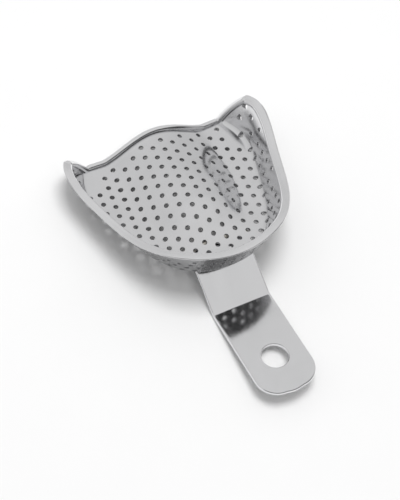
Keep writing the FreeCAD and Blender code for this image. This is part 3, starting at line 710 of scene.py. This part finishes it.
def make_shell_piece():
    v, f = shell_base()
    base = clean_mesh("shell_base", v, f)
    ob = bpy.data.objects.new("shell_tmp", base)
    scene.collection.objects.link(ob)
    base.materials.append(MAT_SHELL)
    spots = perforation()
    pv, pf = punch_tool(spots)
    tool = bpy.data.meshes.new("punch_tmp")
    tool.from_pydata([tuple(a) for a in pv], [], pf)
    bm = bmesh.new()
    bm.from_mesh(tool)
    bmesh.ops.recalc_face_normals(bm, faces=bm.faces)
    bm.to_mesh(tool)
    bm.free()
    tool.materials.append(MAT_HOLE)
    tob = bpy.data.objects.new("punch_tmp", tool)
    scene.collection.objects.link(tob)
    mod = ob.modifiers.new("punch", "BOOLEAN")
    mod.operation = "DIFFERENCE"
    mod.solver = "EXACT"
    mod.object = tob
    mod.material_mode = "TRANSFER"
    dg = bpy.context.evaluated_depsgraph_get()
    me = bpy.data.meshes.new_from_object(ob.evaluated_get(dg))
    me.name = "tray_shell_steel"
    # clean slivers, then give every face of the skin the smooth sheet's normal
    bm = bmesh.new()
    bm.from_mesh(me)
    bmesh.ops.remove_doubles(bm, verts=bm.verts, dist=1e-7)
    bmesh.ops.dissolve_degenerate(bm, edges=bm.edges, dist=1e-7)
    bmesh.ops.triangulate(bm, faces=[x for x in bm.faces if len(x.verts) > 4])
    pinch = [e for e in bm.edges if len(e.link_faces) > 2 and e.calc_length() < 5e-5]
    if pinch:
        bmesh.ops.collapse(bm, edges=pinch)
        bmesh.ops.dissolve_degenerate(bm, edges=bm.edges, dist=1e-7)
    bm.to_mesh(me)
    bm.free()
    names = [m.name if m else "" for m in me.materials]
    hole_slot = names.index(MAT_HOLE.name) if MAT_HOLE.name in names else -1
    bm = bmesh.new()
    bm.from_mesh(base)
    bmesh.ops.triangulate(bm, faces=bm.faces)
    bm.normal_update()
    tri = [[x.index for x in t.verts] for t in bm.faces]
    co = [x.co.copy() for x in bm.verts]
    vn = [x.normal.copy() for x in bm.verts]
    bm.free()
    tree = BVHTree.FromPolygons(co, tri)
    cache = {}

    def skin_normal(p, fn):
        key = (round(p.x * 1e7), round(p.y * 1e7), round(p.z * 1e7), fn.dot(Vector((0, 0, 1))) > 0)
        if key in cache:
            return cache[key]
        loc, nn, idx, dist = tree.find_nearest(p)
        a, b, c = tri[idx]
        # barycentric weights
        v0, v1, v2 = co[b] - co[a], co[c] - co[a], loc - co[a]
        d00, d01, d11 = v0.dot(v0), v0.dot(v1), v1.dot(v1)
        d20, d21 = v2.dot(v0), v2.dot(v1)
        den = d00 * d11 - d01 * d01
        if abs(den) < 1e-30:
            res = vn[a]
        else:
            w1 = (d11 * d20 - d01 * d21) / den
            w2 = (d00 * d21 - d01 * d20) / den
            res = (vn[a] * (1 - w1 - w2) + vn[b] * w1 + vn[c] * w2).normalized()
        cache[key] = res
        return res

    me.materials.append(MAT_OUTER_PAINTED_SHADE)
    painted_shade_back_slot = len(me.materials) - 1
    ln, cn = math.sin(LEAN), math.cos(LEAN)
    normals = [None] * len(me.loops)
    bad = 0
    for poly in me.polygons:
        fn = poly.normal.copy()
        hole = poly.material_index == hole_slot
        # faces turned downwards take the darker underside steel, painted shade for the dark floor they face
        if not hole and fn.y * ln + fn.z * cn < -0.03:
            poly.material_index = painted_shade_back_slot
        for li in poly.loop_indices:
            if hole:
                normals[li] = fn
            else:
                nn = skin_normal(me.vertices[me.loops[li].vertex_index].co, fn)
                if nn.dot(fn) < 0.3:
                    nn = fn
                    bad += 1
                normals[li] = nn
    me.polygons.foreach_set("use_smooth", [True] * len(me.polygons))
    me.normals_split_custom_set(normals)
    print("shell: holes", len(spots), "verts", len(me.vertices), "faces", len(me.polygons), "kept face normals", bad, "hole slot", hole_slot)
    bpy.data.objects.remove(tob)
    bpy.data.objects.remove(ob)
    piece = bpy.data.objects.new("perforated_tray_shell", me)
    scene.collection.objects.link(piece)
    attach(piece, "root")
    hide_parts("tray_shell")
    return piece


make_shell_piece()


# ------------------------------------------------------------------- beads
def flange_profile(sec):
    """Closed outline of the rim bead in (inset q, height above the edge)."""
    m = sec["m"]
    c, sn = math.cos(sec["th"]), math.sin(sec["th"])
    sh = sec["shift"]
    W, H = dim("bead_width"), dim("bead_height")

    def ao(along, off):
        return (sh + along * c + off * sn, -along * sn + off * c)
    pts = [(0.62 / m - 0.05, -0.62), (0.20 / m - 0.06, -0.22), (0.10, 0.03), (0.42, 0.15),
           (1.05, 0.20), (sh + 0.75, 0.17)]
    pts += [ao(0.45 * W, H * 0.985) if k == 1 else ao(a * W, o * H) for k, (a, o) in enumerate(((0.20, 0.83), (0.45, 1.0), (0.72, 0.88), (0.92, 0.52), (1.02, -0.03)))]
    pts += [ao(0.75 * W, -0.35), ao(0.40 * W, -0.55)]
    return pts


def make_flange_bead():
    rings = []
    n = 44
    samples = [s for k, s in enumerate(fine) if k % 1 == 0]

    def rim_at(s):
        sec = section(abs(s))
        x, y, _ = at(s, sec["shift"], 0.0)
        return np.array((x, y, sec["zr"]))

    def ring(s):
        """Section square to the rim, lying on the flange's own slope."""
        sec = section(abs(s))
        c, sn = math.cos(sec["th"]), math.sin(sec["th"])
        o = rim_at(s)
        px, py, _ = at(s, sec["shift"] + 1.5, 0.0)
        down = np.array((px - o[0], py - o[1], 0.0))
        down /= np.linalg.norm(down)
        down = np.array((down[0] * c, down[1] * c, -sn))
        tv = rim_at(min(1.0, s + 0.004)) - rim_at(max(-1.0, s - 0.004))
        tv /= np.linalg.norm(tv)
        inn = down - tv * down.dot(tv)
        inn /= np.linalg.norm(inn)
        nrm = np.cross(tv, inn)
        nrm *= np.sign(nrm[2]) / np.linalg.norm(nrm)
        prof = closed_spline(flange_profile(sec), n)
        dq, dz = prof[:, 0] - sec["shift"], prof[:, 1]
        along, off = dq * c - dz * sn, dq * sn + dz * c
        return o + np.outer(along, inn) + np.outer(off, nrm)
    for s in samples:
        rings.append(ring(s))
    # the bead is dressed off round over its last millimetre and a half
    cen = np.array([r.mean(axis=0) for r in rings])
    gone = np.r_[0, np.cumsum(np.linalg.norm(np.diff(cen, axis=0), axis=1))]
    for i, r in enumerate(rings):
        d = min(gone[i], gone[-1] - gone[i])
        if d < 1.5:
            k = 0.55 + 0.45 * math.sqrt(max(0.0, 1 - (1 - d / 1.5) ** 2))
            rings[i] = cen[i] + (r - cen[i]) * k
    for end in (0, -1):
        last = rings[end]
        before = rings[1 if end == 0 else -2]
        c = last.mean(axis=0)
        d = (last - before).mean(axis=0)
        d /= np.linalg.norm(d)
        extra = []
        for k in range(1, 10):
            f = math.pi / 2 * k / 9.6
            extra.append(c + (last - c) * math.cos(f) + d * (0.40 * math.sin(f)))
        if end == 0:
            rings = extra[::-1] + rings
        else:
            rings = rings + extra
    rings = [rows_to_row(r) for r in rings]
    me = tube("flange_bead_wire", rings)
    return link("flange_bead_wire", me, [MAT_BEAD], "flange_bead")


make_flange_bead()


def rear_edge_row():
    """Upper face's rear edge and its frame, from the left tip to the right."""
    P, _ = fine_station(1.0)
    N, _ = fine_station(0.985)
    return np.array(P), np.array(N)


def make_rear_bead():
    P, N = rear_edge_row()
    start = next(i for i in range(len(P)) if P[i][0] < 38.05)
    P, N = P[start:], N[start:]
    t = np.gradient(P, axis=0)
    t[-1] = (-1.0, 0.0, 0.0)
    t /= np.linalg.norm(t, axis=1)[:, None]
    inn = N - P
    nrm = np.cross(inn, t)
    nrm *= np.sign(nrm[:, 2])[:, None]
    nrm[-1][0] = 0.0
    nrm /= np.linalg.norm(nrm, axis=1)[:, None]
    inw = np.cross(nrm, t)
    inw *= -np.sign(inw[:, 1])[:, None]
    inw /= np.linalg.norm(inw, axis=1)[:, None]
    W, H = dim("rear_bead_width"), dim("rear_bead_height")
    shape = [(0.03, -0.78), (-0.20, -0.45), (-0.22, 0.10), (-0.06, 0.62), (0.30, 1.18), (0.85, 1.60),
             (1.35, 1.70), (1.85, 1.52), (2.28, 1.05), (2.52, 0.50), (2.62, -0.03), (2.0, -0.35), (0.9, -0.6)]
    shape = [(a * W / 2.6, o * H / 1.7 if o > 0 else o) for a, o in shape]
    prof = closed_spline(shape, 40)
    # smooth the frames a little along the edge
    for arr in (inw, nrm):
        for _ in range(3):
            arr[1:-1] = 0.25 * arr[:-2] + 0.5 * arr[1:-1] + 0.25 * arr[2:]
            arr /= np.linalg.norm(arr, axis=1)[:, None]
    right = [P[i] + np.outer(prof[:, 0], inw[i]) + np.outer(prof[:, 1], nrm[i]) for i in range(len(P))]
    left = [r * [-1, 1, 1] for r in right]
    rings = left + right[-2::-1]
    for end in (0, -1):                       # rounded ends, let into the rim bead
        last = rings[end]
        c = last.mean(axis=0)
        d = (last - rings[1 if end == 0 else -2]).mean(axis=0)
        d /= np.linalg.norm(d)
        extra = [c + (last - c) * math.cos(math.pi / 2 * k / 7.6) + d * (1.0 * math.sin(math.pi / 2 * k / 7.6))
                 for k in range(1, 8)]
        rings = extra[::-1] + rings if end == 0 else rings + extra
    rings = [rows_to_row(r) for r in rings]
    me = tube("palatal_bead_wire", rings)
    return link("palatal_bead_wire", me, [MAT_BEAD], "palatal_bead")


make_rear_bead()


# ------------------------------------------------------------------ handle
def handle_path():
    """Centre line of the strip in the pressing frame's Y-Z plane, as a function
    of length from its inner end: returns (y, z, angle)."""
    g = dim("strip_gauge")
    top = dim("floor_front") - T - dim("braze_gap")
    P = [(dim("lap_rear_y"), top), (dim("first_bend_y"), top),
         (dim("second_bend_y"), dim("second_bend_z")), (dim("grip_end_y"), dim("grip_end_z"))]
    dirs = []
    for a, b in zip(P[:-1], P[1:]):
        m = math.dist(a, b)
        dirs.append(((b[0] - a[0]) / m, (b[1] - a[1]) / m))
    ang = [math.atan2(d[1], d[0]) for d in dirs]
    ang = [a + 2 * math.pi if a < 0 else a for a in ang]   # all near pi
    # offset the upper face's corners to the centre line
    segs = []
    rc = dim("bend_radius") + g / 2

    def down(d):
        n = (d[1], -d[0])
        return n if n[1] < 0 else (-n[0], -n[1])
    pts = []
    for i, p in enumerate(P):
        if i == 0:
            n = down(dirs[0])
            pts.append((p[0] + n[0] * g / 2, p[1] + n[1] * g / 2))
        elif i == 3:
            n = down(dirs[2])
            pts.append((p[0] + n[0] * g / 2, p[1] + n[1] * g / 2))
        else:
            n1, n2 = down(dirs[i - 1]), down(dirs[i])
            k = (g / 2) / (1 + n1[0] * n2[0] + n1[1] * n2[1])
            pts.append((p[0] + (n1[0] + n2[0]) * k, p[1] + (n1[1] + n2[1]) * k))
    out = []
    trim = [0.0, rc * math.tan(abs(ang[1] - ang[0]) / 2), rc * math.tan(abs(ang[2] - ang[1]) / 2), 0.0]
    length = 0.0
    pieces = []
    for i in range(3):
        a, b = pts[i], pts[i + 1]
        L = math.dist(a, b) - trim[i] - trim[i + 1]
        sx, sy = a[0] + dirs[i][0] * trim[i], a[1] + dirs[i][1] * trim[i]
        pieces.append(("line", length, L, sx, sy, ang[i]))
        length += L
        if i < 2:
            turn = ang[i + 1] - ang[i]
            L = rc * abs(turn)
            ex, ey = sx + dirs[i][0] * (pieces[-1][2]), sy + dirs[i][1] * (pieces[-1][2])
            pieces.append(("arc", length, L, ex, ey, ang[i], turn, rc))
            length += L

    def f(u):
        for pc in pieces:
            if u <= pc[1] + pc[2] + 1e-9 or pc is pieces[-1]:
                w = u - pc[1]
                if pc[0] == "line":
                    return pc[3] + math.cos(pc[5]) * w, pc[4] + math.sin(pc[5]) * w, pc[5]
                turn, R = pc[6], pc[7]
                sg = 1.0 if turn > 0 else -1.0
                a0 = pc[5]
                a = a0 + sg * w / R
                # centre lies to the side the strip turns to
                cx, cy = pc[3] - math.sin(a0) * R * sg, pc[4] + math.cos(a0) * R * sg
                return cx + math.sin(a) * R * sg, cy - math.cos(a) * R * sg, a
    return f, length, pieces


def make_handle():
    f, L, pieces = handle_path()
    g, Wd = dim("strip_gauge"), dim("strip_width")
    half = Wd / 2
    er = 0.62                      # rounding of the long edges
    rc_end = dim("end_corner_radius")
    crown = 0.9                    # the outer end is slightly bowed
    eye_u, eye_r = L - dim("eye_from_end"), dim("eye_diameter") / 2
    # outline of the strip, unrolled: u along, v across
    outline = []
    ri = 1.0                       # small corners at the inner end
    for k in range(0, 60):
        outline.append((ri + (L - rc_end - ri) * k / 60, -half))
    for k in range(0, 15):
        a = -math.pi / 2 + math.pi / 2 * k / 14
        outline.append((L - crown - rc_end + rc_end * math.cos(a) + 0.0, -half + rc_end + rc_end * math.sin(a)))
    # bowed end
    w_end = half - rc_end
    for k in range(1, 10):
        v = -w_end + 2 * w_end * k / 10
        outline.append((L - crown + crown * (1 - (v / w_end) ** 2) * 0.55, v))
    for k in range(0, 15):
        a = math.pi / 2 * k / 14
        outline.append((L - crown - rc_end + rc_end * math.cos(a), half - rc_end + rc_end * math.sin(a)))
    for k in range(1, 60):
        outline.append((L - rc_end - (L - rc_end - ri) * k / 60, half))
    for k in range(0, 7):
        a = math.pi / 2 + math.pi / 2 * k / 6
        outline.append((ri + ri * math.cos(a), half - ri + ri * math.sin(a)))
    for k in range(1, 10):
        outline.append((0.0, half - ri - (Wd - 2 * ri) * k / 10))
    for k in range(0, 6):
        a = math.pi + math.pi / 2 * k / 6
        outline.append((ri + ri * math.cos(a), -half + ri + ri * math.sin(a)))
    # drop near-duplicates
    clean = [outline[0]]
    for p in outline[1:]:
        if math.dist(p, clean[-1]) > 0.08:
            clean.append(p)
    if math.dist(clean[0], clean[-1]) < 0.08:
        clean.pop()
    outline = np.array(clean)

    def offset(loop, d):
        """Loop moved inwards by d (counter-clockwise loop)."""
        a = np.roll(loop, 1, axis=0)
        b = np.roll(loop, -1, axis=0)
        t = b - a
        t /= np.linalg.norm(t, axis=1)[:, None]
        return loop + np.stack([-t[:, 1], t[:, 0]], 1) * d
    area = 0.5 * np.sum(outline[:, 0] * np.roll(outline[:, 1], -1) - np.roll(outline[:, 0], -1) * outline[:, 1])
    if area < 0:
        outline = outline[::-1]
    hole = np.array([(eye_u + eye_r * math.cos(2 * math.pi * k / 72), eye_r * math.sin(2 * math.pi * k / 72)) for k in range(72)])

    def lift(u, v, w):
        """Unrolled strip coordinates to the pressing frame; w is along the
        upper face's normal, from the middle of the gauge."""
        y, z, a = f(min(max(u, 0.0), L))
        over = u - min(max(u, 0.0), L)
        y += math.cos(a) * over
        z += math.sin(a) * over
        # normal pointing up: rotate direction by -90 degrees (direction runs -Y)
        ny, nz = math.sin(a), -math.cos(a)
        return (v, y + ny * w, z + nz * w)

    verts, faces = [], []
    # edge rings, from the top inset to the bottom inset
    K = 7
    prof = []
    for k in range(K + 1):
        a = math.pi / 2 * (1 - k / K)
        prof.append((er * (1 - math.cos(a)), g / 2 - er + er * math.sin(a)))
    for k in range(1, K + 1):
        a = -math.pi / 2 * k / K
        prof.append((er * (1 - math.cos(a)), -(g / 2 - er) + er * math.sin(a)))
    rings = []
    for ins, w in prof:
        lp = offset(outline, ins)
        rings.append((lp, w))
    hr = 0.35
    hprof = []
    for k in range(K + 1):
        a = math.pi / 2 * (1 - k / K)
        hprof.append((hr * (1 - math.cos(a)), g / 2 - hr + hr * math.sin(a)))
    for k in range(1, K + 1):
        a = -math.pi / 2 * k / K
        hprof.append((hr * (1 - math.cos(a)), -(g / 2 - hr) + hr * math.sin(a)))
    hrings = []
    for ins, w in hprof:
        c = np.array([eye_u, 0.0])
        hrings.append((c + (hole - c) * (eye_r + ins) / eye_r, w))

    def add_rings(rs, flip):
        n = len(rs[0][0])
        start = len(verts)
        for lp, w in rs:
            for u, v in lp:
                verts.append(lift(u, v, w))
        for i in range(len(rs) - 1):
            for j in range(n):
                k = (j + 1) % n
                q = (start + i * n + j, start + (i + 1) * n + j, start + (i + 1) * n + k, start + i * n + k)
                faces.append(q[::-1] if flip else q)
        return start
    s1 = add_rings(rings, False)
    s2 = add_rings(hrings, True)
    n1, n2 = len(outline), len(hole)
    # flat faces: triangulate between outline inset and eye, with cross lines for the bends
    bend_us = []
    for pc in pieces:
        if pc[0] == "arc":
            for k in range(0, 13):
                bend_us.append(pc[1] + pc[2] * k / 12)
    grid = []
    us = sorted(set([round(x, 4) for x in bend_us] + [round(1.2 + k * 1.6, 4) for k in range(int((L - 3) / 1.6))]))
    for u in us:
        for v in np.linspace(-half + 1.3, half - 1.3, 13):
            if math.dist((u, v), (eye_u, 0)) > eye_r + 0.9 and u < L - 1.6:
                # keep clear of the rounded corners
                if u > L - rc_end - crown:
                    cu, cv = L - crown - rc_end, half - rc_end
                    if abs(v) > cv and math.dist((u, abs(v)), (cu, cv)) > rc_end - 1.3:
                        continue
                grid.append((u, v))
    for top in (True, False):
        lp = rings[0][0] if top else rings[-1][0]
        hp = hrings[0][0] if top else hrings[-1][0]
        w = rings[0][1] if top else rings[-1][1]
        pts = [Vector(p) for p in lp] + [Vector(p) for p in hp] + [Vector(p) for p in grid]
        edges = [(i, (i + 1) % n1) for i in range(n1)] + [(n1 + i, n1 + (i + 1) % n2) for i in range(n2)]
        vo, eo, fo, ov, oe, of = delaunay_2d_cdt(pts, edges, [], 0, 1e-5)
        base = len(verts)
        idx = []
        for q in range(len(vo)):
            verts.append(lift(vo[q][0], vo[q][1], w))
        for tri in fo:
            c = sum((Vector(vo[k]) for k in tri), Vector((0, 0))) / 3
            if math.dist(c, (eye_u, 0)) < eye_r + hr * 0.9:
                continue
            # slivers between neighbouring points of the eye's own ring
            if all(abs(math.dist(vo[k], (eye_u, 0)) - eye_r - hr) < 2e-3 for k in tri):
                continue
            # inside the outline?
            inside = False
            x, y = c
            for i in range(n1):
                x1, y1 = lp[i]
                x2, y2 = lp[(i + 1) % n1]
                if (y1 > y) != (y2 > y) and x < (x2 - x1) * (y - y1) / (y2 - y1) + x1:
                    inside = not inside
            if not inside:
                continue
            t3 = tuple(base + k for k in tri)
            faces.append(t3 if top else t3[::-1])
    me = clean_mesh("handle_strip", rows_to_row(verts), faces)
    return link("handle_strip", me, [MAT_STRIP], "handle")


make_handle()


# ------------------------------------------------------------- braze fillet
def make_braze():
    """Concave fillet round the lap, between the strip's sides and the tray."""
    half = dim("strip_width") / 2
    y0, y1 = dim("first_bend_y"), dim("lap_rear_y")
    zt = dim("floor_front") - T
    rings = []
    path = []
    # three sides of the lap, with rounded corners at the rear
    cr = 0.5
    for k in range(0, 13):
        path.append((-half, y0 + 0.5 + (y1 - cr - y0 - 0.5) * k / 12, -1.0, 0.0))
    for k in range(1, 8):
        a = math.pi - math.pi / 2 * k / 7
        path.append((-half + cr + cr * math.cos(a), y1 - cr + cr * math.sin(a), math.cos(a), math.sin(a)))
    for k in range(1, 25):
        path.append((-half + cr + (2 * half - 2 * cr) * k / 24, y1, 0.0, 1.0))
    for k in range(1, 8):
        a = math.pi / 2 - math.pi / 2 * k / 7
        path.append((half - cr + cr * math.cos(a), y1 - cr + cr * math.sin(a), math.cos(a), math.sin(a)))
    for k in range(1, 13):
        path.append((half, y1 - cr - (y1 - cr - y0 - 0.5) * k / 12, 1.0, 0.0))
    for i, (x, y, nx, ny) in enumerate(path):
        wob = 1.0 + 0.10 * math.sin(i * 0.9) + 0.06 * math.sin(i * 2.3 + 1.0)
        e = min(i, len(path) - 1 - i)
        k_end = min(1.0, 0.25 + 0.75 * e / 4.0)
        R, Dp = dim("braze_reach") * wob * k_end, dim("braze_depth") * wob * k_end
        pts = [(-0.5, 0.02), (-0.5, -Dp * 0.9), (0.02, -Dp)]
        for k in range(1, 8):
            f = math.pi / 2 * k / 8
            pts.append((R * (1 - math.cos(f)) ** 0.9 + 0.02, -Dp * (1 - math.sin(f)) ** 0.9))
        pts.append((R, 0.0))
        pts.append((R * 0.6, 0.05))
        ring = []
        for a, b in pts:
            px, py = x + nx * a, y + ny * a
            under = base_height(abs(px), py) - T / base_normal(abs(px), py)[2]
            ring.append((px, py, zt + b + (under - zt) * min(1.0, max(0.0, 1.0 + b / Dp))))
        rings.append(ring)
    rings = [rows_to_row(r) for r in rings]
    me = tube("lap_braze_fillet", rings)
    return link("lap_braze_fillet", me, [MAT_BRAZE], "handle_braze")


make_braze()


# ------------------------------------------------------------ floor, lights
def make_floor():
    m, nt, b = new_mat("bench_pale")
    N, L = nt.nodes, nt.links
    b.inputs["Roughness"].default_value = 0.85
    tc = N.new("ShaderNodeTexCoord")
    n = N.new("ShaderNodeTexNoise")
    n.inputs["Scale"].default_value = 40.0
    L.new(tc.outputs["Object"], n.inputs["Vector"])
    mix = N.new("ShaderNodeMix")
    mix.data_type = "RGBA"
    mix.inputs["A"].default_value = (0.90, 0.90, 0.90, 1)
    mix.inputs["B"].default_value = (0.885, 0.885, 0.885, 1)
    L.new(n.outputs["Fac"], mix.inputs["Factor"])
    L.new(mix.outputs["Result"], b.inputs["Base Color"])
    me = bpy.data.meshes.new("bench")
    s = 3.0
    me.from_pydata([(-s, -s, -0.00005), (s, -s, -0.00005), (s, s, -0.00005), (-s, s, -0.00005)], [], [(0, 1, 2, 3)])
    me.materials.append(m)
    ob = bpy.data.objects.new("bench", me)
    scene.collection.objects.link(ob)


make_floor()


def area(name, loc, target, size, energy, size_y=None):
    li = bpy.data.lights.new(name, "AREA")
    li.shape = "RECTANGLE" if size_y else "SQUARE"
    li.size = size
    if size_y:
        li.size_y = size_y
    li.energy = energy
    ob = bpy.data.objects.new(name, li)
    scene.collection.objects.link(ob)
    ob.location = loc
    d = Vector(target) - Vector(loc)
    ob.rotation_euler = d.to_track_quat("-Z", "Y").to_euler()
    return ob


# A white studio tent: evenly bright above and behind, dark low down in front,
# where the table's edge and the room are.
world = bpy.data.worlds.new("studio")
scene.world = world
world.use_nodes = True
wn, wl = world.node_tree.nodes, world.node_tree.links
bg = wn["Background"]
tc = wn.new("ShaderNodeTexCoord")
sep = wn.new("ShaderNodeSeparateXYZ")
wl.new(tc.outputs["Generated"], sep.inputs["Vector"])


def wmath(op, a, b=None, clamp=False):
    n = wn.new("ShaderNodeMath")
    n.operation = op
    n.use_clamp = clamp
    for k, v in enumerate((a, b)):
        if v is None:
            continue
        if isinstance(v, (int, float)):
            n.inputs[k].default_value = v
        else:
            wl.new(v, n.inputs[k])
    return n.outputs[0]


def wramp(v, lo, hi, a, c):
    n = wn.new("ShaderNodeMapRange")
    n.interpolation_type = "SMOOTHSTEP"
    n.inputs["From Min"].default_value = lo
    n.inputs["From Max"].default_value = hi
    n.inputs["To Min"].default_value = a
    n.inputs["To Max"].default_value = c
    wl.new(v, n.inputs["Value"])
    return n.outputs["Result"]


low = wramp(sep.outputs["Z"], 0.60, 0.74, 1.0, 0.0)            # 1 below 37 deg
front = wramp(sep.outputs["Y"], -0.35, -0.05, 1.0, 0.0)        # 1 towards the front
dark = wmath("MULTIPLY", low, front)
keep = wmath("SUBTRACT", 1.0, wmath("MULTIPLY", dark, 0.93))
top = wramp(sep.outputs["Z"], 0.0, 1.0, 0.62, 0.74)
wl.new(wmath("MULTIPLY", keep, top), bg.inputs["Strength"])
bg.inputs["Color"].default_value = (1, 1, 1, 1)

key = area("overhead_soft_light", (0.05, 0.12, 1.1), (0, 0.0, 0), 0.45, 7.0)
key.visible_glossy = False


scene.view_settings.view_transform = "Standard"
scene.view_settings.look = "None"
scene.view_settings.exposure = 0.0

# ------------------------------------------------------------------- camera
AZ, EL, RO = math.radians(-31.75), math.radians(52.05), math.radians(4.48)
back = Vector((math.sin(AZ) * math.cos(EL), -math.cos(AZ) * math.cos(EL), math.sin(EL)))
right = Vector((math.cos(AZ), math.sin(AZ), 0.0))
up = back.cross(right)
r = right * math.cos(RO) + up * math.sin(RO)
u = -right * math.sin(RO) + up * math.cos(RO)
SCALE, DIST, TX, TY = 2.75, 609.88, 3.0, 11.23
eye = Vector((0, -40, 6)) - r * TX - u * TY + back * DIST
cam_data = bpy.data.cameras.new("camera")
cam = bpy.data.objects.new("camera", cam_data)
scene.collection.objects.link(cam)
rr, uu, bb = turn_row(r), turn_row(u), turn_row(back)
rot = Matrix((rr, uu, bb)).transposed()
cam.matrix_world = Matrix.Translation(Vector(to_row(eye))) @ rot.to_4x4()
cam_data.sensor_fit = "VERTICAL"
cam_data.sensor_height = 36.0
cam_data.lens = SCALE * DIST * 36.0 / 500.0
cam_data.clip_start = 0.01
cam_data.clip_end = 20.0
scene.camera = cam
